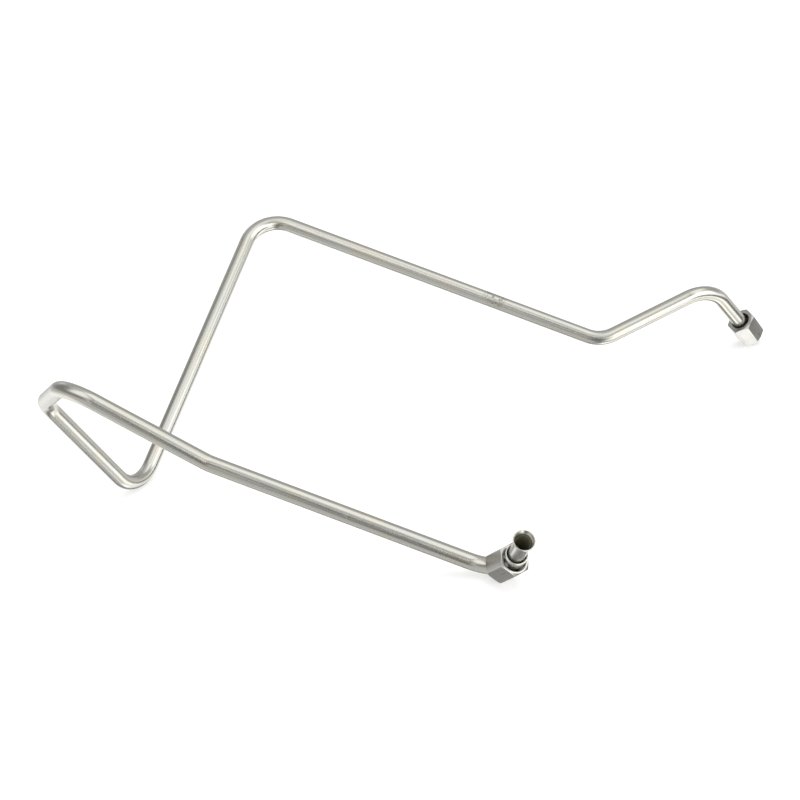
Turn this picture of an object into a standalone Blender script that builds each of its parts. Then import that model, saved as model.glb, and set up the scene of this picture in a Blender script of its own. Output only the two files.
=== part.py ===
"""Hydraulic tube: one bent steel tube, flared at both ends, with a loose sleeve and tube nut on each end."""
import math

import bmesh
import bpy
from mathutils import Matrix, Vector

for old in list(bpy.data.objects):
    bpy.data.objects.remove(old, do_unlink=True)

MM = 0.001

# The tube: half-inch steel line
TUBE_OD = 12.7 * MM
TUBE_WALL = 0.9 * MM
BEND_RADIUS = 29.0 * MM

# Its centreline, as a tube drawing gives it: the ends and the corners where the straight runs would meet
NEAR_END = (125.0, -227.5, 49.4)
NEAR_CORNER = (101.0, -190.2, -1.1)
GENTLE_CORNER = (-110.5, -199.4, 93.3)
LEFT_CORNER = (-207.8, -208.6, 160.5)
BACK_CORNER = (-261.1, -141.9, 115.0)
LOW_CORNER = (-232.4, -70.8, -5.2)
HIGH_CORNER = (-174.7, 165.1, 156.2)
RIGHT_CORNER = (129.3, 145.4, 36.7)
FAR_CORNER = (223.0, 183.5, 70.9)
FAR_END = (252.3, 222.9, 9.8)

# The flare on each end: the wall opens at this slope until it stands this far out of the tube
FLARE_SLOPE = math.radians(37.0)
FLARE_RISE = 1.95 * MM
FLARE_LIP = 0.25 * MM

# The sleeve that slides on the tube behind each flare
SLEEVE_LENGTH = 12.0 * MM
SLEEVE_GAP = 0.3 * MM
SLEEVE_WALL = 0.8 * MM
SLEEVE_FLANGE_LENGTH = 5.0 * MM
SLEEVE_FLANGE_STEP = 0.75 * MM
SLEEVE_FRONT_RING = 0.6 * MM
SLEEVE_BEVEL = 0.3 * MM
SEAT_GAP = 0.2 * MM

# The tube nut: a hexagon with a plain hole at the back and a wide threaded bore at the mouth
NUT_LENGTH = 23.7 * MM
NUT_HOLE_GAP = 0.45 * MM
NUT_LAND = 4.0 * MM
NUT_SHOULDER = 1.2 * MM
NUT_BORE_GAP = 0.55 * MM
NUT_WALL = 2.35 * MM
NUT_MOUTH_BEVEL = 0.8 * MM
NUT_FACE_RING = 0.5 * MM
NUT_CORNER_SLOPE = math.radians(30.0)

# Where the loose pieces rest
NEAR_SLEEVE_OFF_BEND = 0.6 * MM
NEAR_NUT_DOWN_BEND = 21.3 * MM
NEAR_NUT_SAG = 0.45 * MM
NEAR_NUT_TURN = math.radians(21.9)
FAR_NUT_PAST_FLARE = 19.7 * MM
FAR_NUT_TILT = math.radians(2.6)
FAR_NUT_TURN = math.radians(51.7)

# How finely round things are divided
TUBE_SIDES = 24
ROUND_SIDES = 32
BEND_STEP = math.radians(9.0)
RUN_STEP = 60.0 * MM

# Sizes that follow from those above
TUBE_R = TUBE_OD / 2.0
BORE_R = TUBE_R - TUBE_WALL
FLARE_R = TUBE_R + FLARE_RISE
FLARE_LENGTH = FLARE_RISE / math.tan(FLARE_SLOPE)
SLEEVE_BORE_R = TUBE_R + SLEEVE_GAP
SLEEVE_TAIL_R = SLEEVE_BORE_R + SLEEVE_WALL
SLEEVE_FLANGE_R = SLEEVE_TAIL_R + SLEEVE_FLANGE_STEP
SLEEVE_MOUTH_R = SLEEVE_FLANGE_R - SLEEVE_FRONT_RING
SLEEVE_CONE_LENGTH = (SLEEVE_MOUTH_R - SLEEVE_BORE_R) / math.tan(FLARE_SLOPE)
NUT_HOLE_R = SLEEVE_TAIL_R + NUT_HOLE_GAP
NUT_BORE_R = SLEEVE_FLANGE_R + NUT_BORE_GAP
NUT_ACROSS_FLATS = 2.0 * (NUT_BORE_R + NUT_WALL)
NUT_CORNER_R = NUT_ACROSS_FLATS / math.sqrt(3.0)
NUT_FACE_R = NUT_ACROSS_FLATS / 2.0 - NUT_FACE_RING
SEATED_SLEEVE_FRONT = FLARE_LENGTH + SEAT_GAP - SLEEVE_CONE_LENGTH


def paint(name, colour, metallic, roughness):
    """A plain material of one colour."""
    material = bpy.data.materials.new(name)
    material.use_nodes = True
    shader = material.node_tree.nodes["Principled BSDF"]
    shader.inputs["Base Color"].default_value = (*colour, 1.0)
    shader.inputs["Metallic"].default_value = metallic
    shader.inputs["Roughness"].default_value = roughness
    material.diffuse_color = (*colour, 1.0)
    return material


def finish(mesh_object, material, sharp=math.radians(30.0)):
    """Gives an object its material and smooth rounds with sharp edges."""
    mesh_object.data.materials.clear()
    mesh_object.data.materials.append(material)
    mesh_object.data.shade_smooth()
    mesh_object.data.set_sharp_from_angle(angle=sharp)


def make_object(name, mesh_builder):
    """Turns a finished bmesh into a linked object."""
    mesh = bpy.data.meshes.new(name)
    mesh_builder.to_mesh(mesh)
    mesh_builder.free()
    result = bpy.data.objects.new(name, mesh)
    bpy.context.scene.collection.objects.link(result)
    return result


def lathe(name, outline, sides=ROUND_SIDES):
    """Spins a closed outline of (radius, height) points round the Z axis."""
    builder = bmesh.new()
    points = [builder.verts.new((radius, 0.0, height)) for radius, height in outline]
    edges = [builder.edges.new((points[i], points[(i + 1) % len(points)])) for i in range(len(points))]
    bmesh.ops.spin(
        builder,
        geom=points + edges,
        cent=(0.0, 0.0, 0.0),
        axis=(0.0, 0.0, 1.0),
        angle=math.tau,
        steps=sides,
        use_merge=True,
    )
    bmesh.ops.remove_doubles(builder, verts=builder.verts, dist=0.000001)
    bmesh.ops.recalc_face_normals(builder, faces=builder.faces)
    return make_object(name, builder)


def cut(target, tool, operation):
    """Cuts or trims the target with a hidden tool body."""
    tool.hide_render = True
    tool.hide_viewport = False
    tool.display_type = "WIRE"
    step = target.modifiers.new(tool.name, "BOOLEAN")
    step.operation = operation
    step.solver = "EXACT"
    step.object = tool
    tool.parent = target


def place(mesh_object, origin, axis, side, turn=0.0):
    """Stands an object's Z axis on the given axis, with its X axis turned from the side direction."""
    across = (side - axis * side.dot(axis)).normalized()
    up = axis.cross(across)
    frame = Matrix((across, up, axis)).transposed()
    mesh_object.matrix_world = Matrix.Translation(origin) @ frame.to_4x4() @ Matrix.Rotation(turn, 4, "Z")


# Tube: one piece, bent cold from straight line and flared at both ends
corners = [
    Vector(point) * MM
    for point in (
        NEAR_END,
        NEAR_CORNER,
        GENTLE_CORNER,
        LEFT_CORNER,
        BACK_CORNER,
        LOW_CORNER,
        HIGH_CORNER,
        RIGHT_CORNER,
        FAR_CORNER,
        FAR_END,
    )
]


def bend_at(index):
    """The bend at a corner: where it starts, both directions, its angle and how far it reaches."""
    arriving = (corners[index] - corners[index - 1]).normalized()
    leaving = (corners[index + 1] - corners[index]).normalized()
    angle = arriving.angle(leaving)
    reach = BEND_RADIUS * math.tan(angle / 2.0)
    return corners[index] - arriving * reach, arriving, leaving, angle, reach


def centreline():
    """Stations (place, direction) along the tube from the near flare's root to the far flare's root."""
    stations = []
    start = corners[0] + (corners[1] - corners[0]).normalized() * FLARE_LENGTH
    for index in range(1, len(corners) - 1):
        bend_start, arriving, leaving, angle, reach = bend_at(index)
        pieces = max(1, math.ceil((bend_start - start).length / RUN_STEP))
        for k in range(pieces):
            stations.append((start.lerp(bend_start, k / pieces), arriving))
        inward = (leaving - arriving * math.cos(angle)).normalized()
        steps = max(2, math.ceil(angle / BEND_STEP))
        for k in range(steps):
            swept = angle * k / steps
            place_now = bend_start + arriving * BEND_RADIUS * math.sin(swept)
            place_now = place_now + inward * BEND_RADIUS * (1.0 - math.cos(swept))
            stations.append((place_now, arriving * math.cos(swept) + inward * math.sin(swept)))
        start = corners[index] + leaving * reach
    last = (corners[-1] - corners[-2]).normalized()
    end = corners[-1] - last * FLARE_LENGTH
    pieces = max(1, math.ceil((end - start).length / RUN_STEP))
    for k in range(pieces + 1):
        stations.append((start.lerp(end, k / pieces), last))
    return stations


def ring(builder, centre, direction, side, radius):
    """One circle of points round the centreline."""
    across = (side - direction * side.dot(direction)).normalized()
    up = direction.cross(across)
    points = []
    for k in range(TUBE_SIDES):
        angle = math.tau * k / TUBE_SIDES
        points.append(builder.verts.new(centre + (across * math.cos(angle) + up * math.sin(angle)) * radius))
    return points


def build_tube():
    """Outer wall from end to end, back through the bore, closed at both lips."""
    builder = bmesh.new()
    path = centreline()
    side = Vector((0.0, 0.0, 1.0)).cross(path[0][1]).normalized()
    sides = []
    for _, direction in path:
        side = (side - direction * side.dot(direction)).normalized()
        sides.append(side)
    near_tip = corners[0]
    far_tip = corners[-1]
    near_way = path[0][1]
    far_way = path[-1][1]
    inner_rise = FLARE_RISE + TUBE_WALL - TUBE_WALL / math.cos(FLARE_SLOPE)
    inner_length = inner_rise / math.tan(FLARE_SLOPE)
    rings = [ring(builder, near_tip, near_way, sides[0], FLARE_R)]
    rings.append(ring(builder, near_tip + near_way * FLARE_LIP, near_way, sides[0], FLARE_R))
    for (centre, direction), turned in zip(path, sides):
        rings.append(ring(builder, centre, direction, turned, TUBE_R))
    rings.append(ring(builder, far_tip - far_way * FLARE_LIP, far_way, sides[-1], FLARE_R))
    rings.append(ring(builder, far_tip, far_way, sides[-1], FLARE_R))
    rings.append(ring(builder, far_tip, far_way, sides[-1], BORE_R + inner_rise))
    rings.append(ring(builder, far_tip - far_way * inner_length, far_way, sides[-1], BORE_R))
    for (centre, direction), turned in zip(reversed(path), reversed(sides)):
        rings.append(ring(builder, centre, direction, turned, BORE_R))
    rings.append(ring(builder, near_tip + near_way * inner_length, near_way, sides[0], BORE_R))
    rings.append(ring(builder, near_tip, near_way, sides[0], BORE_R + inner_rise))
    for index, first in enumerate(rings):
        second = rings[(index + 1) % len(rings)]
        for k in range(TUBE_SIDES):
            after = (k + 1) % TUBE_SIDES
            builder.faces.new((first[k], first[after], second[after], second[k]))
    bmesh.ops.recalc_face_normals(builder, faces=builder.faces)
    return make_object("tube", builder)


def build_sleeve(name):
    """Sleeve along +Z: tail at the bottom, flange and cone for the flare at the top."""
    flange_base = SLEEVE_LENGTH - SLEEVE_FLANGE_LENGTH
    cone_start = SLEEVE_LENGTH - SLEEVE_CONE_LENGTH
    outline = [
        (SLEEVE_BORE_R, 0.0),
        (SLEEVE_TAIL_R, 0.0),
        (SLEEVE_TAIL_R, flange_base),
        (SLEEVE_FLANGE_R, flange_base + SLEEVE_FLANGE_STEP),
        (SLEEVE_FLANGE_R, SLEEVE_LENGTH - SLEEVE_BEVEL),
        (SLEEVE_FLANGE_R - SLEEVE_BEVEL, SLEEVE_LENGTH),
        (SLEEVE_MOUTH_R, SLEEVE_LENGTH),
        (SLEEVE_BORE_R, cone_start),
    ]
    return lathe(name, outline)


def build_nut(name):
    """Nut along +Z: plain hole at the bottom, threaded bore open at the top, corners turned off at both ends."""
    builder = bmesh.new()
    bmesh.ops.create_cone(
        builder,
        cap_ends=True,
        segments=6,
        radius1=NUT_CORNER_R,
        radius2=NUT_CORNER_R,
        depth=NUT_LENGTH,
        matrix=Matrix.Translation((0.0, 0.0, NUT_LENGTH / 2.0)),
    )
    nut = make_object(name, builder)
    beyond = 1.0 * MM
    reach = NUT_CORNER_R + beyond
    drop = (reach - NUT_FACE_R) * math.tan(NUT_CORNER_SLOPE)
    over = beyond * math.tan(NUT_CORNER_SLOPE)
    envelope = [
        (NUT_FACE_R - beyond, -over),
        (reach, drop),
        (reach, NUT_LENGTH - drop),
        (NUT_FACE_R - beyond, NUT_LENGTH + over),
        (0.0, NUT_LENGTH + over),
        (0.0, -over),
    ]
    shoulder = NUT_LAND + NUT_SHOULDER
    inside = [
        (0.0, -beyond),
        (NUT_HOLE_R, -beyond),
        (NUT_HOLE_R, NUT_LAND),
        (NUT_BORE_R, shoulder),
        (NUT_BORE_R, NUT_LENGTH - NUT_MOUTH_BEVEL),
        (NUT_BORE_R + NUT_MOUTH_BEVEL + beyond, NUT_LENGTH + beyond),
        (0.0, NUT_LENGTH + beyond),
    ]
    cut(nut, solid_of_revolution(name + "_corner_turning", envelope, 48), "INTERSECT")
    cut(nut, solid_of_revolution(name + "_bore", inside, ROUND_SIDES), "DIFFERENCE")
    return nut


def solid_of_revolution(name, outline, sides):
    """Spins an outline that starts and ends on the Z axis, closed at both poles."""
    builder = bmesh.new()
    rows = []
    for radius, height in outline:
        if radius == 0.0:
            rows.append([builder.verts.new((0.0, 0.0, height))])
            continue
        row = []
        for k in range(sides):
            angle = math.tau * k / sides
            row.append(builder.verts.new((radius * math.cos(angle), radius * math.sin(angle), height)))
        rows.append(row)
    for index, first in enumerate(rows):
        second = rows[(index + 1) % len(rows)]
        if len(first) == 1 and len(second) == 1:
            continue
        for k in range(sides):
            after = (k + 1) % sides
            loop = [first[k % len(first)], first[after % len(first)], second[after % len(second)], second[k % len(second)]]
            corners_used = []
            for point in loop:
                if point not in corners_used:
                    corners_used.append(point)
            builder.faces.new(corners_used)
    bmesh.ops.recalc_face_normals(builder, faces=builder.faces)
    return make_object(name, builder)


tube_steel = paint("tube_steel", (0.60, 0.59, 0.56), 1.0, 0.30)
sleeve_steel = paint("sleeve_steel", (0.55, 0.55, 0.53), 1.0, 0.28)
nut_steel = paint("nut_steel", (0.42, 0.42, 0.40), 1.0, 0.32)

tube = build_tube()
finish(tube, tube_steel)

# Near end: the neck points up towards its flare; the sleeve has slid down it to where the bend starts
near_start, near_way, near_run, near_angle, near_reach = bend_at(1)
near_up = -near_way
near_neck_foot = corners[1] + near_up * near_reach
near_sleeve = build_sleeve("near_sleeve")
place(near_sleeve, near_neck_foot + near_up * NEAR_SLEEVE_OFF_BEND, near_up, near_run)
finish(near_sleeve, sleeve_steel)

# The near nut hangs on the bend: its back hole is round the bend and its mouth round the straight neck
swept = NEAR_NUT_DOWN_BEND / BEND_RADIUS
back_drop = BEND_RADIUS * math.sin(swept)
back_side = BEND_RADIUS * (1.0 - math.cos(swept))
run_side = (near_run - near_up * near_run.dot(near_up)).normalized()
nut_back = near_neck_foot - near_up * back_drop + run_side * back_side
mouth_up = math.sqrt(NUT_LENGTH**2 - back_side**2) - back_drop
nut_axis = (near_neck_foot + near_up * mouth_up - nut_back).normalized()
outward = -(run_side - nut_axis * run_side.dot(nut_axis)).normalized()
near_nut = build_nut("near_nut")
place(near_nut, nut_back + outward * NEAR_NUT_SAG, nut_axis, near_run, NEAR_NUT_TURN)
finish(near_nut, nut_steel)

# Far end: the neck points down; the sleeve lies against the flare
far_start, far_run, far_way, far_angle, far_reach = bend_at(len(corners) - 2)
far_up = -far_way
far_sleeve = build_sleeve("far_sleeve")
place(far_sleeve, corners[-1] + far_up * (SEATED_SLEEVE_FRONT + SLEEVE_LENGTH), far_way, -far_run)
finish(far_sleeve, sleeve_steel)

# The far nut stands over the flare, its back hole slightly to one side of the tube
far_side = (-far_run + far_way * far_run.dot(far_way)).normalized()
far_axis = (far_way * math.cos(FAR_NUT_TILT) + far_side * math.sin(FAR_NUT_TILT)).normalized()
far_nut = build_nut("far_nut")
place(far_nut, corners[-1] - far_axis * FAR_NUT_PAST_FLARE, far_axis, far_side, FAR_NUT_TURN)
finish(far_nut, nut_steel)
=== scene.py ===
"""Hydraulic tube: a bent steel tube with flared ends, and the loose sleeve and tube nut on each end."""
import math

import bpy
from mathutils import Matrix, Vector


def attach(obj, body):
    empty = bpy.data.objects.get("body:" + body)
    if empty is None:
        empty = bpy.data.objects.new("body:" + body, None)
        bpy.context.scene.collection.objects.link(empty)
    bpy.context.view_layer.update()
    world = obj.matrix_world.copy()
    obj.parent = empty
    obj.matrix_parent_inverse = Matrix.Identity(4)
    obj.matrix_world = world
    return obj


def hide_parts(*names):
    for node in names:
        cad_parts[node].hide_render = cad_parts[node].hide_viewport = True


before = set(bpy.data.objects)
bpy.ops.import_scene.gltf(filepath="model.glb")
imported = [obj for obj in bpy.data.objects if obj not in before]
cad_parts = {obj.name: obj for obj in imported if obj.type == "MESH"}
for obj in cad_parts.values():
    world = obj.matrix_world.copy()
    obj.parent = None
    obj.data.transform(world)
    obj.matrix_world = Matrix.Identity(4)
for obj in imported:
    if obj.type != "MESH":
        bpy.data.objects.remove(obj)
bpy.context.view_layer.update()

# Tube
# One length of half-inch steel line with a thin wall, drawn and bright plated.
# It is bent cold round one former, so every bend has the same radius, and both ends are flared at 37 degrees.

MM = 0.001
TUBE_R = 6.35 * MM
TUBE_WALL = 0.9 * MM
BEND_RADIUS = 29.0 * MM
TUBE_SIDES = 64
BEND_STEP = math.radians(3.0)

# The ends and the corners where the straight runs would meet, as a tube drawing gives them
corners = [
    Vector(point) * MM
    for point in (
        (125.0, -227.5, 49.4),
        (101.0, -190.2, -1.1),
        (-110.5, -199.4, 93.3),
        (-207.8, -208.6, 160.5),
        (-261.1, -141.9, 115.0),
        (-232.4, -70.8, -5.2),
        (-174.7, 165.1, 156.2),
        (129.3, 145.4, 36.7),
        (223.0, 183.5, 70.9),
        (252.3, 222.9, 9.8),
    )
]

# The flare's outer face, as distances from its tip and the radii there: the cone, then a soft root
flare_outline = [
    (0.54 * MM, 8.25 * MM),
    (2.60 * MM, 6.73 * MM),
    (2.95 * MM, 6.50 * MM),
    (3.30 * MM, 6.39 * MM),
    (3.70 * MM, 6.35 * MM),
]
FLARE_SLOPE = math.radians(37.0)
FLARE_RISE = 1.95 * MM
FLARE_SEAT_DEPTH = 3.0 * MM
NEAR_A_TIP = 10.0 * MM
LIP_ROUNDING = 0.3 * MM


def way_along(index):
    """The direction of the straight run that leaves a corner."""
    return (corners[index + 1] - corners[index]).normalized()


def push_ring(middle, step, share=1.0):
    """Extrudes the selected ring by a step, sizes it as a share of what it was, and gives its new middle."""
    bpy.ops.mesh.extrude_region_move(TRANSFORM_OT_translate={"value": step})
    bpy.ops.transform.resize(value=(share, share, share), center_override=middle + step)
    return middle + step


bpy.ops.object.select_all(action="DESELECT")
near_way = way_along(0)
bpy.ops.mesh.primitive_circle_add(
    vertices=TUBE_SIDES,
    radius=flare_outline[0][1],
    location=corners[0] + near_way * flare_outline[0][0],
    rotation=near_way.to_track_quat("Z", "Y").to_euler(),
)
tube = bpy.context.object
tube.name = "flared_tube"
bpy.ops.object.transform_apply(location=True, rotation=True, scale=True)
bpy.ops.object.mode_set(mode="EDIT")
bpy.ops.mesh.select_mode(type="VERT")
bpy.ops.mesh.select_all(action="SELECT")
run_lengths = [flare_outline[0][0]]
reached = corners[0] + near_way * flare_outline[0][0]
for (before, radius_before), (after, radius_after) in zip(flare_outline, flare_outline[1:]):
    reached = push_ring(reached, near_way * (after - before), radius_after / radius_before)
    run_lengths.append(after)

for index in range(1, len(corners) - 1):
    arriving = way_along(index - 1)
    leaving = way_along(index)
    angle = arriving.angle(leaving)
    bend_start = corners[index] - arriving * BEND_RADIUS * math.tan(angle / 2.0)
    run_lengths.append(run_lengths[-1] + (bend_start - reached).length)
    push_ring(reached, bend_start - reached)
    inward = (leaving - arriving * math.cos(angle)).normalized()
    steps = math.ceil(angle / BEND_STEP)
    bpy.ops.mesh.spin(
        steps=steps,
        angle=-angle,
        center=bend_start + inward * BEND_RADIUS,
        axis=arriving.cross(inward),
    )
    for step in range(steps):
        run_lengths.append(run_lengths[-1] + BEND_RADIUS * angle / steps)
    reached = corners[index] + leaving * BEND_RADIUS * math.tan(angle / 2.0)

far_way = way_along(len(corners) - 2)
far_root = corners[-1] - far_way * flare_outline[-1][0]
run_lengths.append(run_lengths[-1] + (far_root - reached).length)
reached = push_ring(reached, far_root - reached)
for (after, radius_after), (before, radius_before) in zip(reversed(flare_outline), reversed(flare_outline[:-1])):
    reached = push_ring(reached, far_way * (after - before), radius_before / radius_after)
    run_lengths.append(run_lengths[-1] + after - before)
bpy.ops.mesh.select_all(action="SELECT")
bpy.ops.mesh.normals_make_consistent(inside=False)
bpy.ops.object.mode_set(mode="OBJECT")

# Where each point was on the straight tube before it was bent, for the drawing marks that run along it
straight = tube.data.attributes.new("as_drawn", "FLOAT_VECTOR", "POINT")
for point in tube.data.vertices:
    around = math.tau * (point.index % TUBE_SIDES) / TUBE_SIDES
    along = run_lengths[point.index // TUBE_SIDES]
    straight.data[point.index].vector = (TUBE_R * math.cos(around), TUBE_R * math.sin(around), along)

# The wall: the first material is the steel outside, the second the bore
tube.data.materials.append(None)
tube.data.materials.append(None)
wall = tube.modifiers.new("wall", "SOLIDIFY")
wall.thickness = TUBE_WALL
wall.offset = -1.0
wall.use_even_offset = True
wall.use_rim = True
wall.material_offset = 1
wall.material_offset_rim = 0
bpy.ops.object.modifier_apply(modifier="wall")

# The lips are rounded, and the seats inside the flares are as bright as the outside
bpy.ops.object.mode_set(mode="EDIT")
bpy.ops.mesh.select_mode(type="EDGE")
bpy.ops.mesh.select_all(action="DESELECT")
bpy.ops.mesh.edges_select_sharp(sharpness=math.radians(60.0))
bpy.ops.mesh.bevel(offset=LIP_ROUNDING, segments=4)
bpy.ops.object.mode_set(mode="OBJECT")
for face in tube.data.polygons:
    behind_near_tip = (face.center - corners[0]).dot(near_way)
    behind_far_tip = (corners[-1] - face.center).dot(far_way)
    by_near_tip = (face.center - corners[0]).length < NEAR_A_TIP and behind_near_tip < FLARE_SEAT_DEPTH
    by_far_tip = (face.center - corners[-1]).length < NEAR_A_TIP and behind_far_tip < FLARE_SEAT_DEPTH
    if by_near_tip or by_far_tip:
        face.material_index = 0
bpy.ops.object.shade_smooth_by_angle(angle=math.radians(35.0))


def new_steel(name, colour, roughness):
    """A metal with one colour and roughness, ready for the marks of how the piece was made."""
    material = bpy.data.materials.new(name)
    material.use_nodes = True
    shader = material.node_tree.nodes["Principled BSDF"]
    shader.inputs["Base Color"].default_value = (*colour, 1.0)
    shader.inputs["Metallic"].default_value = 1.0
    shader.inputs["Roughness"].default_value = roughness
    return material


def build_marks_group():
    """Marks of working and handling on bare metal: fine grain along Z, broad mottling and a few scratches."""
    group = bpy.data.node_groups.new("working_marks", "ShaderNodeTree")
    group.interface.new_socket(name="Place", in_out="INPUT", socket_type="NodeSocketVector")
    for name in ("Grain Across", "Grain Along", "Mottle Scale", "Scratch Scale"):
        group.interface.new_socket(name=name, in_out="INPUT", socket_type="NodeSocketFloat")
    for name in ("Grain", "Mottle", "Scratches"):
        group.interface.new_socket(name=name, in_out="OUTPUT", socket_type="NodeSocketFloat")
    nodes = group.nodes
    links = group.links
    given = nodes.new("NodeGroupInput")
    result = nodes.new("NodeGroupOutput")

    across = nodes.new("ShaderNodeCombineXYZ")
    links.new(given.outputs["Grain Across"], across.inputs["X"])
    links.new(given.outputs["Grain Across"], across.inputs["Y"])
    links.new(given.outputs["Grain Along"], across.inputs["Z"])
    stretched = nodes.new("ShaderNodeVectorMath")
    stretched.operation = "MULTIPLY"
    links.new(given.outputs["Place"], stretched.inputs[0])
    links.new(across.outputs["Vector"], stretched.inputs[1])
    grain = nodes.new("ShaderNodeTexNoise")
    grain.inputs["Scale"].default_value = 1.0
    grain.inputs["Detail"].default_value = 4.0
    grain.inputs["Roughness"].default_value = 0.6
    links.new(stretched.outputs["Vector"], grain.inputs["Vector"])
    links.new(grain.outputs["Fac"], result.inputs["Grain"])

    mottle = nodes.new("ShaderNodeTexNoise")
    mottle.inputs["Detail"].default_value = 3.0
    mottle.inputs["Roughness"].default_value = 0.55
    links.new(given.outputs["Place"], mottle.inputs["Vector"])
    links.new(given.outputs["Mottle Scale"], mottle.inputs["Scale"])
    links.new(mottle.outputs["Fac"], result.inputs["Mottle"])

    bent = nodes.new("ShaderNodeTexNoise")
    bent.inputs["Scale"].default_value = 90.0
    bent.inputs["Detail"].default_value = 1.0
    links.new(given.outputs["Place"], bent.inputs["Vector"])
    wander = nodes.new("ShaderNodeVectorMath")
    wander.operation = "MULTIPLY_ADD"
    links.new(bent.outputs["Color"], wander.inputs[0])
    wander.inputs[1].default_value = (0.004, 0.004, 0.004)
    links.new(given.outputs["Place"], wander.inputs[2])
    cells = nodes.new("ShaderNodeTexVoronoi")
    cells.feature = "DISTANCE_TO_EDGE"
    links.new(wander.outputs["Vector"], cells.inputs["Vector"])
    links.new(given.outputs["Scratch Scale"], cells.inputs["Scale"])
    line = nodes.new("ShaderNodeMapRange")
    line.inputs["From Min"].default_value = 0.0
    line.inputs["From Max"].default_value = 0.02
    line.inputs["To Min"].default_value = 1.0
    line.inputs["To Max"].default_value = 0.0
    links.new(cells.outputs["Distance"], line.inputs["Value"])
    where = nodes.new("ShaderNodeMapRange")
    where.inputs["From Min"].default_value = 0.56
    where.inputs["From Max"].default_value = 0.68
    links.new(bent.outputs["Fac"], where.inputs["Value"])
    few = nodes.new("ShaderNodeMath")
    few.operation = "MULTIPLY"
    links.new(line.outputs["Result"], few.inputs[0])
    links.new(where.outputs["Result"], few.inputs[1])
    links.new(few.outputs["Value"], result.inputs["Scratches"])
    return group


def mark_steel(material, group, place_name, scales, cool, warm, dull, bright, grain_depth):
    """Lets the working marks vary a steel's colour, roughness and relief."""
    nodes = material.node_tree.nodes
    links = material.node_tree.links
    shader = nodes["Principled BSDF"]
    place = nodes.new("ShaderNodeAttribute")
    place.attribute_name = place_name
    marks = nodes.new("ShaderNodeGroup")
    marks.node_tree = group
    links.new(place.outputs["Vector"], marks.inputs["Place"])
    for name, value in zip(("Grain Across", "Grain Along", "Mottle Scale", "Scratch Scale"), scales):
        marks.inputs[name].default_value = value
    tint = nodes.new("ShaderNodeMapRange")
    tint.inputs["From Min"].default_value = 0.35
    tint.inputs["From Max"].default_value = 0.65
    links.new(marks.outputs["Mottle"], tint.inputs["Value"])
    colour = nodes.new("ShaderNodeMix")
    colour.data_type = "RGBA"
    colour.inputs["A"].default_value = (*cool, 1.0)
    colour.inputs["B"].default_value = (*warm, 1.0)
    links.new(tint.outputs["Result"], colour.inputs["Factor"])
    links.new(colour.outputs["Result"], shader.inputs["Base Color"])
    sheen = nodes.new("ShaderNodeMapRange")
    sheen.inputs["From Min"].default_value = 0.3
    sheen.inputs["From Max"].default_value = 0.7
    sheen.inputs["To Min"].default_value = bright
    sheen.inputs["To Max"].default_value = dull
    links.new(marks.outputs["Grain"], sheen.inputs["Value"])
    worn = nodes.new("ShaderNodeMath")
    worn.operation = "MULTIPLY_ADD"
    worn.inputs[1].default_value = 0.12
    links.new(marks.outputs["Scratches"], worn.inputs[0])
    links.new(sheen.outputs["Result"], worn.inputs[2])
    links.new(worn.outputs["Value"], shader.inputs["Roughness"])
    height = nodes.new("ShaderNodeMath")
    height.operation = "SUBTRACT"
    links.new(marks.outputs["Grain"], height.inputs[0])
    links.new(marks.outputs["Scratches"], height.inputs[1])
    relief = nodes.new("ShaderNodeBump")
    relief.inputs["Strength"].default_value = 1.0
    relief.inputs["Distance"].default_value = grain_depth
    links.new(height.outputs["Value"], relief.inputs["Height"])
    links.new(relief.outputs["Normal"], shader.inputs["Normal"])


working_marks = build_marks_group()
tube_steel = new_steel("drawn_plated_steel", (0.50, 0.49, 0.465), 0.25)
mark_steel(
    tube_steel,
    working_marks,
    "as_drawn",
    (1500.0, 40.0, 55.0, 60.0),
    (0.49, 0.494, 0.463),
    (0.515, 0.4945, 0.434),
    0.28,
    0.20,
    0.000004,
)
bore_steel = new_steel("oily_bore_steel", (0.26, 0.25, 0.18), 0.5)
bore_steel.node_tree.nodes["Principled BSDF"].inputs["Metallic"].default_value = 0.0
mark_steel(
    bore_steel,
    working_marks,
    "as_drawn",
    (1200.0, 40.0, 90.0, 60.0),
    (0.25, 0.24, 0.17),
    (0.28, 0.265, 0.19),
    0.5,
    0.34,
    0.000004,
)

# A patch on the back run where the plating has been rubbed dull
RUBBED_PLACE = (0.0385, 0.1500, 0.0790)
nodes = tube_steel.node_tree.nodes
links = tube_steel.node_tree.links
shader = nodes["Principled BSDF"]
on_tube = nodes.new("ShaderNodeTexCoord")
from_patch = nodes.new("ShaderNodeVectorMath")
from_patch.operation = "DISTANCE"
links.new(on_tube.outputs["Object"], from_patch.inputs[0])
from_patch.inputs[1].default_value = RUBBED_PLACE
patch = nodes.new("ShaderNodeMapRange")
patch.inputs["From Min"].default_value = 7.0 * MM
patch.inputs["From Max"].default_value = 12.0 * MM
patch.inputs["To Min"].default_value = 1.0
patch.inputs["To Max"].default_value = 0.0
links.new(from_patch.outputs["Value"], patch.inputs["Value"])
specks = nodes.new("ShaderNodeTexNoise")
specks.inputs["Scale"].default_value = 480.0
specks.inputs["Detail"].default_value = 3.0
links.new(on_tube.outputs["Object"], specks.inputs["Vector"])
speckled = nodes.new("ShaderNodeMapRange")
speckled.inputs["From Min"].default_value = 0.46
speckled.inputs["From Max"].default_value = 0.58
links.new(specks.outputs["Fac"], speckled.inputs["Value"])
rubbed = nodes.new("ShaderNodeMath")
rubbed.operation = "MULTIPLY"
links.new(patch.outputs["Result"], rubbed.inputs[0])
links.new(speckled.outputs["Result"], rubbed.inputs[1])
duller = nodes.new("ShaderNodeMath")
duller.operation = "MULTIPLY_ADD"
duller.inputs[1].default_value = 0.22
links.new(rubbed.outputs["Value"], duller.inputs[0])
links.new(shader.inputs["Roughness"].links[0].from_socket, duller.inputs[2])
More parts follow.
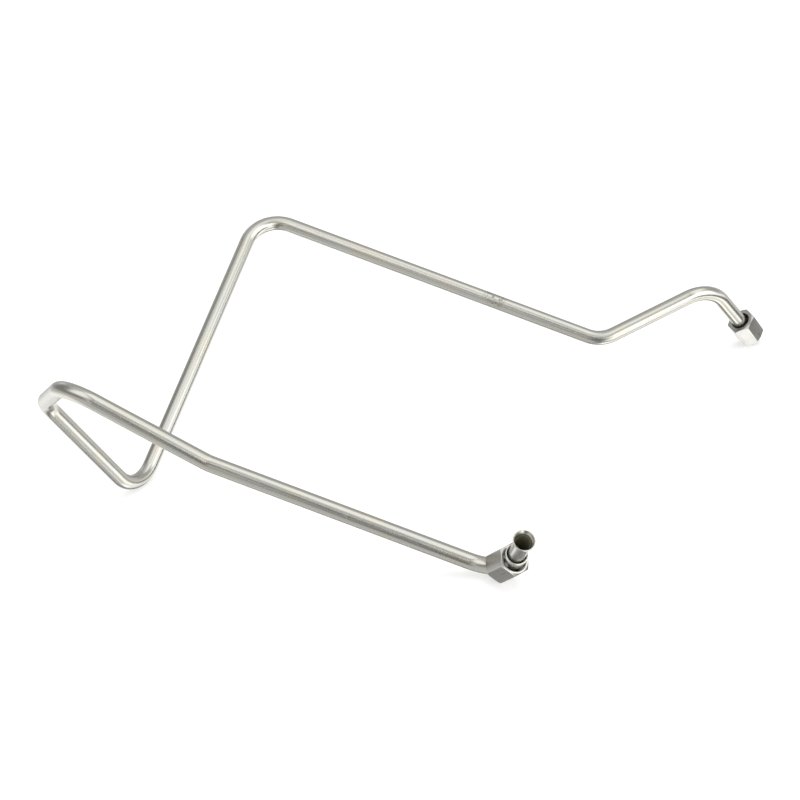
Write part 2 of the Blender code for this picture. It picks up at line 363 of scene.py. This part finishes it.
links.new(duller.outputs["Value"], shader.inputs["Roughness"])
darker = nodes.new("ShaderNodeMix")
darker.data_type = "RGBA"
links.new(rubbed.outputs["Value"], darker.inputs["Factor"])
links.new(shader.inputs["Base Color"].links[0].from_socket, darker.inputs["A"])
darker.inputs["B"].default_value = (0.31, 0.30, 0.27, 1.0)
links.new(darker.outputs["Result"], shader.inputs["Base Color"])

tube.data.materials[0] = tube_steel
tube.data.materials[1] = bore_steel
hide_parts("tube")
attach(tube, "tube")

# Sleeves
# A sleeve is turned from bar, bored to slide on the tube, and plated.
# The cone in its front backs the flare, the flange bears on the nut's shoulder, and the tail goes into its back hole.

SLEEVE_BORE_R = 6.65 * MM
SLEEVE_TAIL_R = 7.45 * MM
SLEEVE_FLANGE_R = 8.20 * MM
SLEEVE_MOUTH_R = 7.60 * MM
SLEEVE_LENGTH = 12.0 * MM
SLEEVE_FLANGE_LENGTH = 5.0 * MM
SLEEVE_STEP = 0.75 * MM
SLEEVE_BEVEL = 0.3 * MM
SLEEVE_CONE_LENGTH = (SLEEVE_MOUTH_R - SLEEVE_BORE_R) / math.tan(FLARE_SLOPE)
SLEEVE_SIDES = 96
NEAR_SLEEVE_OFF_BEND = 0.6 * MM
SEAT_GAP = 0.2 * MM
SEATED_SLEEVE_FRONT = FLARE_RISE / math.tan(FLARE_SLOPE) + SEAT_GAP - SLEEVE_CONE_LENGTH


def turn_piece(name, outline, sides, hollow):
    """Turns an outline of (radius, height) points into a body round Z: a ring if hollow, else one with flat ends."""
    bpy.ops.object.select_all(action="DESELECT")
    bpy.ops.mesh.primitive_circle_add(
        vertices=sides,
        radius=outline[0][0],
        location=(0.0, 0.0, outline[0][1]),
        fill_type="NOTHING" if hollow else "NGON",
    )
    piece = bpy.context.object
    piece.name = name
    bpy.ops.object.transform_apply(location=True, rotation=True, scale=True)
    bpy.ops.object.mode_set(mode="EDIT")
    bpy.ops.mesh.select_mode(type="VERT")
    bpy.ops.mesh.select_all(action="SELECT")
    points = outline + outline[:1] if hollow else outline
    for (radius, height), (next_radius, next_height) in zip(points, points[1:]):
        bpy.ops.mesh.extrude_region_move(TRANSFORM_OT_translate={"value": (0.0, 0.0, next_height - height)})
        share = next_radius / radius
        bpy.ops.transform.resize(value=(share, share, 1.0), center_override=(0.0, 0.0, next_height))
    bpy.ops.mesh.select_all(action="SELECT")
    bpy.ops.mesh.remove_doubles(threshold=0.000002)
    bpy.ops.mesh.normals_make_consistent(inside=False)
    bpy.ops.object.mode_set(mode="OBJECT")
    return piece


def keep_own_place(piece):
    """Keeps each point's place on the piece as it was made, for the marks of turning."""
    kept = piece.data.attributes.new("as_made", "FLOAT_VECTOR", "POINT")
    for point in piece.data.vertices:
        kept.data[point.index].vector = point.co


def stand(piece, origin, axis, side, turn=0.0):
    """Stands a piece's Z axis on an axis, its X axis turned from the side direction, with the place in its mesh."""
    across = (side - axis * side.dot(axis)).normalized()
    up = axis.cross(across)
    frame_turn = Matrix((across, up, axis)).transposed().to_4x4()
    piece.data.transform(Matrix.Translation(origin) @ frame_turn @ Matrix.Rotation(turn, 4, "Z"))


def own_copy(piece, name):
    """A second piece of the same make, with its own mesh."""
    bpy.ops.object.select_all(action="DESELECT")
    piece.select_set(True)
    bpy.context.view_layer.objects.active = piece
    bpy.ops.object.duplicate(linked=False)
    copy = bpy.context.object
    copy.name = name
    return copy


flange_base = SLEEVE_LENGTH - SLEEVE_FLANGE_LENGTH
near_sleeve = turn_piece(
    "near_flare_sleeve",
    [
        (SLEEVE_BORE_R, SLEEVE_LENGTH - SLEEVE_CONE_LENGTH),
        (SLEEVE_BORE_R, 0.25 * MM),
        (SLEEVE_BORE_R + 0.2 * MM, 0.0),
        (SLEEVE_TAIL_R - 0.25 * MM, 0.0),
        (SLEEVE_TAIL_R - 0.07 * MM, 0.07 * MM),
        (SLEEVE_TAIL_R, 0.25 * MM),
        (SLEEVE_TAIL_R, flange_base),
        (SLEEVE_FLANGE_R - 0.08 * MM, flange_base + SLEEVE_STEP - 0.08 * MM),
        (SLEEVE_FLANGE_R, flange_base + SLEEVE_STEP + 0.1 * MM),
        (SLEEVE_FLANGE_R, SLEEVE_LENGTH - SLEEVE_BEVEL),
        (SLEEVE_FLANGE_R - 0.1 * MM, SLEEVE_LENGTH - 0.1 * MM),
        (SLEEVE_FLANGE_R - SLEEVE_BEVEL, SLEEVE_LENGTH),
        (SLEEVE_MOUTH_R, SLEEVE_LENGTH),
    ],
    SLEEVE_SIDES,
    hollow=True,
)
keep_own_place(near_sleeve)
bpy.ops.object.shade_smooth_by_angle(angle=math.radians(35.0))
far_sleeve = own_copy(near_sleeve, "far_flare_sleeve")

near_up = -way_along(0)
near_run = way_along(1)
near_angle = way_along(0).angle(near_run)
near_neck_foot = corners[1] + near_up * BEND_RADIUS * math.tan(near_angle / 2.0)
stand(near_sleeve, near_neck_foot + near_up * NEAR_SLEEVE_OFF_BEND, near_up, near_run)
far_run = way_along(len(corners) - 3)
stand(far_sleeve, corners[-1] - far_way * (SEATED_SLEEVE_FRONT + SLEEVE_LENGTH), far_way, -far_run)

sleeve_steel = new_steel("turned_plated_steel", (0.5, 0.495, 0.47), 0.28)
mark_steel(
    sleeve_steel,
    working_marks,
    "as_made",
    (60.0, 4500.0, 120.0, 160.0),
    (0.50, 0.50, 0.48),
    (0.52, 0.50, 0.46),
    0.34,
    0.24,
    0.000006,
)
for piece, node in ((near_sleeve, "near_sleeve"), (far_sleeve, "far_sleeve")):
    piece.data.materials.clear()
    piece.data.materials.append(sleeve_steel)
    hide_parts(node)
    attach(piece, node)

# Tube nuts
# A nut is turned and threaded from hexagon bar, with the corners turned off at both ends, and plated.
# Its back hole passes the sleeve's tail, its shoulder pulls on the flange, and its thread is 3/4 inch by 16.

NUT_LENGTH = 23.7 * MM
NUT_HOLE_R = 7.9 * MM
NUT_BORE_R = 8.75 * MM
NUT_ACROSS_FLATS = 22.2 * MM
NUT_CORNER_R = NUT_ACROSS_FLATS / math.sqrt(3.0)
NUT_FACE_R = NUT_ACROSS_FLATS / 2.0 - 0.5 * MM
NUT_LAND = 4.0 * MM
NUT_SHOULDER = 1.2 * MM
NUT_MOUTH_BEVEL = 0.8 * MM
NUT_BACK_BEVEL = 0.35 * MM
NUT_EDGE_ROUNDING = 0.18 * MM
NUT_CORNER_SLOPE = math.radians(30.0)
THREAD_PITCH = 25.4 * MM / 16.0
THREAD_ROOT_R = 9.52 * MM
THREAD_TURNS = 11
TOOTH_OVERLAP = 0.12 * MM
TOOTH_HALF_WIDTH = 0.47 * THREAD_PITCH
NEAR_NUT_DOWN_BEND = 21.3 * MM
NEAR_NUT_SAG = 0.45 * MM
NEAR_NUT_TURN = math.radians(21.9)
FAR_NUT_PAST_FLARE = 19.7 * MM
FAR_NUT_TILT = math.radians(2.6)
FAR_NUT_TURN = math.radians(51.7)

bpy.ops.object.select_all(action="DESELECT")
bpy.ops.mesh.primitive_cylinder_add(
    vertices=6,
    radius=NUT_CORNER_R,
    depth=NUT_LENGTH,
    location=(0.0, 0.0, NUT_LENGTH / 2.0),
)
near_nut = bpy.context.object
near_nut.name = "near_tube_nut"
bpy.ops.object.transform_apply(location=True, rotation=True, scale=True)
bpy.ops.object.mode_set(mode="EDIT")
bpy.ops.mesh.select_mode(type="EDGE")
bpy.ops.mesh.select_all(action="DESELECT")
bpy.ops.object.mode_set(mode="OBJECT")
for edge in near_nut.data.edges:
    low, high = (near_nut.data.vertices[i].co for i in edge.vertices)
    edge.select = abs(high.z - low.z) > NUT_LENGTH / 2.0
bpy.ops.object.mode_set(mode="EDIT")
bpy.ops.mesh.bevel(offset=NUT_EDGE_ROUNDING, segments=3)
bpy.ops.object.mode_set(mode="OBJECT")


def cut_with(target, tool, operation):
    """Cuts or trims the target with a tool body, which is then taken away."""
    step = target.modifiers.new(tool.name, "BOOLEAN")
    step.operation = operation
    step.solver = "EXACT"
    step.object = tool
    bpy.ops.object.select_all(action="DESELECT")
    target.select_set(True)
    bpy.context.view_layer.objects.active = target
    bpy.ops.object.modifier_apply(modifier=step.name)
    bpy.data.objects.remove(tool, do_unlink=True)


def close_top(tool, height):
    """Closes a tool body with a flat face over all of its points above a height."""
    bpy.ops.object.mode_set(mode="EDIT")
    bpy.ops.mesh.select_mode(type="VERT")
    bpy.ops.mesh.select_all(action="DESELECT")
    bpy.ops.object.mode_set(mode="OBJECT")
    for point in tool.data.vertices:
        point.select = point.co.z > height
    bpy.ops.object.mode_set(mode="EDIT")
    bpy.ops.mesh.edge_face_add()
    bpy.ops.mesh.select_all(action="SELECT")
    bpy.ops.mesh.normals_make_consistent(inside=False)
    bpy.ops.object.mode_set(mode="OBJECT")


beyond = 1.0 * MM
reach = NUT_CORNER_R + beyond
drop = (reach - NUT_FACE_R) * math.tan(NUT_CORNER_SLOPE)
over = beyond * math.tan(NUT_CORNER_SLOPE)
corner_turning = turn_piece(
    "corner_turning",
    [
        (NUT_FACE_R - beyond, -over),
        (reach, drop),
        (reach, NUT_LENGTH - drop),
        (NUT_FACE_R - beyond, NUT_LENGTH + over),
    ],
    192,
    hollow=False,
)
close_top(corner_turning, NUT_LENGTH)
cut_with(near_nut, corner_turning, "INTERSECT")

shoulder = NUT_LAND + NUT_SHOULDER
boring_tool = turn_piece(
    "boring_tool",
    [
        (NUT_HOLE_R + NUT_BACK_BEVEL + beyond, -beyond),
        (NUT_HOLE_R, NUT_BACK_BEVEL),
        (NUT_HOLE_R, NUT_LAND),
        (NUT_BORE_R, shoulder),
        (NUT_BORE_R, NUT_LENGTH - NUT_MOUTH_BEVEL),
        (NUT_BORE_R + NUT_MOUTH_BEVEL + beyond, NUT_LENGTH + beyond),
    ],
    96,
    hollow=False,
)
close_top(boring_tool, NUT_LENGTH)
cut_with(near_nut, boring_tool, "DIFFERENCE")

# The thread is cut by a tap: a three-cornered tooth carried round the bore, one pitch up at each turn
bpy.ops.object.select_all(action="DESELECT")
bpy.ops.mesh.primitive_circle_add(
    vertices=3,
    radius=1.0,
    location=(0.0, 0.0, 0.0),
    rotation=(math.radians(90.0), 0.0, 0.0),
)
tap = bpy.context.object
tap.name = "tap"
bpy.ops.object.transform_apply(location=True, rotation=True, scale=True)
tooth_base = NUT_BORE_R - TOOTH_OVERLAP
tooth_top = NUT_LENGTH + 1.5 * THREAD_PITCH - THREAD_TURNS * THREAD_PITCH
tooth_points = [
    (THREAD_ROOT_R, 0.0),
    (tooth_base, TOOTH_HALF_WIDTH),
    (tooth_base, -TOOTH_HALF_WIDTH),
]
for point, (radius, height) in zip(tap.data.vertices, tooth_points):
    point.co = (radius, 0.0, tooth_top + height)
lead = tap.modifiers.new("lead", "SCREW")
lead.axis = "Z"
lead.angle = math.tau
lead.screw_offset = THREAD_PITCH
lead.iterations = THREAD_TURNS
lead.steps = 72
lead.render_steps = 72
lead.use_merge_vertices = False
bpy.ops.object.modifier_apply(modifier="lead")
bpy.ops.object.mode_set(mode="EDIT")
bpy.ops.mesh.select_mode(type="EDGE")
bpy.ops.mesh.select_all(action="DESELECT")
bpy.ops.mesh.select_non_manifold()
bpy.ops.mesh.fill_holes(sides=4)
bpy.ops.mesh.select_all(action="SELECT")
bpy.ops.mesh.normals_make_consistent(inside=False)
bpy.ops.object.mode_set(mode="OBJECT")
cut_with(near_nut, tap, "DIFFERENCE")
keep_own_place(near_nut)
bpy.ops.object.shade_smooth_by_angle(angle=math.radians(28.0))
far_nut = own_copy(near_nut, "far_tube_nut")

# The near nut hangs on the bend: its back hole is round the bend and its mouth round the straight neck
swept = NEAR_NUT_DOWN_BEND / BEND_RADIUS
back_drop = BEND_RADIUS * math.sin(swept)
back_side = BEND_RADIUS * (1.0 - math.cos(swept))
run_side = (near_run - near_up * near_run.dot(near_up)).normalized()
nut_back = near_neck_foot - near_up * back_drop + run_side * back_side
mouth_up = math.sqrt(NUT_LENGTH**2 - back_side**2) - back_drop
nut_axis = (near_neck_foot + near_up * mouth_up - nut_back).normalized()
outward = -(run_side - nut_axis * run_side.dot(nut_axis)).normalized()
stand(near_nut, nut_back + outward * NEAR_NUT_SAG, nut_axis, near_run, NEAR_NUT_TURN)

# The far nut stands over the flare, its back hole slightly to one side of the tube
far_side = (-far_run + far_way * far_run.dot(far_way)).normalized()
far_axis = (far_way * math.cos(FAR_NUT_TILT) + far_side * math.sin(FAR_NUT_TILT)).normalized()
stand(far_nut, corners[-1] - far_axis * FAR_NUT_PAST_FLARE, far_axis, far_side, FAR_NUT_TURN)

nut_steel = new_steel("bright_nut_steel", (0.43, 0.425, 0.40), 0.3)
mark_steel(
    nut_steel,
    working_marks,
    "as_made",
    (700.0, 90.0, 150.0, 140.0),
    (0.43, 0.432, 0.413),
    (0.46, 0.442, 0.403),
    0.32,
    0.26,
    0.000002,
)
for piece, node in ((near_nut, "near_nut"), (far_nut, "far_nut")):
    piece.data.materials.clear()
    piece.data.materials.append(nut_steel)
    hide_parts(node)
    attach(piece, node)

# Studio
# A white table in a white studio. What bright metal mirrors is the room, so the room is a dome round the set:
# pale walls, soft boxes on the right and overhead, and the dark places by the camera and along the far wall.

camera_data = bpy.data.cameras.new("camera")
camera = bpy.data.objects.new("camera", camera_data)
bpy.context.scene.collection.objects.link(camera)
camera.location = (0.35510, -1.29917, 0.66953)
camera.rotation_euler = (math.radians(65.1747), math.radians(6.2601), math.radians(13.0997))
camera_data.lens = 81.207
camera_data.sensor_width = 36.0
camera_data.clip_end = 50.0
bpy.context.scene.camera = camera
bpy.context.scene.view_settings.view_transform = "Standard"

bpy.ops.object.select_all(action="DESELECT")
bpy.ops.mesh.primitive_plane_add(size=12.0, location=(0.0, 0.0, -0.0002))
table = bpy.context.object
table.name = "table"
table_white = bpy.data.materials.new("table_white")
table_white.use_nodes = True
table.visible_glossy = False
shader = table_white.node_tree.nodes["Principled BSDF"]
shader.inputs["Base Color"].default_value = (0.80, 0.80, 0.80, 1.0)
shader.inputs["Roughness"].default_value = 0.9
shader.inputs["Specular IOR Level"].default_value = 0.0
nodes = table_white.node_tree.nodes
links = table_white.node_tree.links
seen = nodes.new("ShaderNodeLightPath")
lift = nodes.new("ShaderNodeMath")
lift.operation = "MULTIPLY"
lift.inputs[1].default_value = 0.42
links.new(seen.outputs["Is Camera Ray"], lift.inputs[0])
shader.inputs["Emission Color"].default_value = (1.0, 1.0, 1.0, 1.0)
links.new(lift.outputs["Value"], shader.inputs["Emission Strength"])
table.data.materials.append(table_white)

world = bpy.data.worlds.new("white_background")
bpy.context.scene.world = world
world.use_nodes = True
nodes = world.node_tree.nodes
links = world.node_tree.links
light = nodes["Background"]
seen = nodes.new("ShaderNodeLightPath")
shown = nodes.new("ShaderNodeMath")
shown.operation = "MAXIMUM"
links.new(seen.outputs["Is Camera Ray"], shown.inputs[0])
links.new(seen.outputs["Is Glossy Ray"], shown.inputs[1])
shown_through = nodes.new("ShaderNodeMath")
shown_through.operation = "MAXIMUM"
links.new(shown.outputs["Value"], shown_through.inputs[0])
links.new(seen.outputs["Is Transmission Ray"], shown_through.inputs[1])
strength = nodes.new("ShaderNodeMapRange")
strength.inputs["To Min"].default_value = 0.75
strength.inputs["To Max"].default_value = 1.0
links.new(shown_through.outputs["Value"], strength.inputs["Value"])
light.inputs["Color"].default_value = (1.0, 1.0, 1.0, 1.0)
links.new(strength.outputs["Result"], light.inputs["Strength"])
world.cycles.sampling_method = "NONE"


def hang_lamp(name, place, aim, width, height, power):
    """A soft box that lights the table, as a rectangle that faces its aim. The dome holds what the metal mirrors."""
    lamp_data = bpy.data.lights.new(name, "AREA")
    lamp_data.shape = "RECTANGLE"
    lamp_data.size = width
    lamp_data.size_y = height
    lamp_data.energy = power
    lamp = bpy.data.objects.new(name, lamp_data)
    bpy.context.scene.collection.objects.link(lamp)
    lamp.location = place
    lamp.rotation_euler = (Vector(place) - Vector(aim)).to_track_quat("Z", "Y").to_euler()
    lamp.visible_glossy = False


middle = (0.0, 0.0, 0.08)
hang_lamp("soft_box_right", (2.3, -0.6, 0.95), middle, 2.6, 1.8, 12.0)
hang_lamp("soft_box_left", (-1.7, -1.3, 0.55), middle, 1.9, 1.1, 5.0)
hang_lamp("soft_box_top", (0.3, 0.2, 2.3), middle, 2.4, 2.4, 14.0)

# The parts of the room: the way to the middle, as degrees from +Y towards +X and above the table,
# half the width and half the height in degrees, and the brightness. Later ones stand before earlier ones.
WALL_BRIGHTNESS = 0.84
EDGE_SOFTNESS = 2.5
room_parts = {
    "dark_left_wall": (-124.6, 29.9, 95.3, 25.9, 0.34),
    "table_on_the_left": (-45.0, -43.2, 73.8, 24.6, 1.57),
    "table_at_the_back": (60.0, -58.9, 47.0, 29.6, 1.64),
    "soft_box_on_the_right": (118.2, -7.0, 67.3, 34.2, 2.89),
    "soft_box_overhead": (87.7, 78.7, 51.5, 51.5, 1.75),
    "soft_box_behind_the_camera": (-158.0, 58.0, 40.5, 25.0, 1.71),
    "dark_camera": (171.3, -23.5, 11.0, 57.7, 0.06),
    "dark_stand": (171.0, -15.3, 18.5, 16.5, 0.18),
    "far_wall": (20.0, 28.3, 85.9, 23.6, 0.60),
    "bright_middle_of_the_box": (110.8, 23.3, 23.3, 15.2, 2.95),
    "gap_under_the_box": (94.4, -17.7, 42.8, 11.7, 0.06),
    "shade_under_the_object": (-33.4, -64.8, 70.4, 16.0, 0.22),
    "table_under_the_box": (106.4, -81.0, 67.6, 8.4, 3.00),
    "table_behind_the_left_loop": (-33.5, -36.3, 28.8, 24.5, 1.42),
    "pale_right_corner": (35.8, 3.2, 30.4, 9.2, 0.91),
    "table_straight_behind": (-38.0, -23.0, 13.0, 15.0, 0.68),
    "shade_beside_the_box": (54.0, -36.0, 9.0, 6.0, 0.90),
    "pale_patch_on_the_far_wall": (-45.0, 27.5, 9.0, 8.0, 1.20),
}


def soft_edge(inside):
    """From 0 to 1 over a few degrees, as the edge of a soft box does."""
    return 1.0 / (1.0 + math.exp(-inside / EDGE_SOFTNESS))


bpy.ops.object.select_all(action="DESELECT")
bpy.ops.mesh.primitive_uv_sphere_add(segments=120, ring_count=60, radius=4.0, location=middle)
dome = bpy.context.object
dome.name = "studio_dome"
bpy.ops.object.mode_set(mode="EDIT")
bpy.ops.mesh.select_all(action="SELECT")
bpy.ops.mesh.flip_normals()
bpy.ops.object.mode_set(mode="OBJECT")
brightness = dome.data.attributes.new("brightness", "FLOAT", "POINT")
for point in dome.data.vertices:
    bearing = math.degrees(math.atan2(point.co.x, point.co.y))
    height = math.degrees(math.asin(max(-1.0, min(1.0, point.co.z / point.co.length))))
    level = WALL_BRIGHTNESS
    for part_bearing, part_height, half_width, half_height, part_level in room_parts.values():
        aside = abs((bearing - part_bearing + 180.0) % 360.0 - 180.0)
        share = soft_edge(half_width - aside) * soft_edge(half_height - abs(height - part_height))
        level += (part_level - level) * share
    brightness.data[point.index].value = level
dome_light = bpy.data.materials.new("dome_light")
dome_light.use_nodes = True
dome_light.cycles.emission_sampling = "NONE"
shader = dome_light.node_tree.nodes["Principled BSDF"]
shader.inputs["Base Color"].default_value = (0.0, 0.0, 0.0, 1.0)
shader.inputs["Specular IOR Level"].default_value = 0.0
shader.inputs["Emission Strength"].default_value = 1.0
level_here = dome_light.node_tree.nodes.new("ShaderNodeAttribute")
level_here.attribute_name = "brightness"
dome_light.node_tree.links.new(level_here.outputs["Fac"], shader.inputs["Emission Color"])
dome.data.materials.append(dome_light)
dome.visible_camera = False
dome.visible_diffuse = False
dome.visible_shadow = False
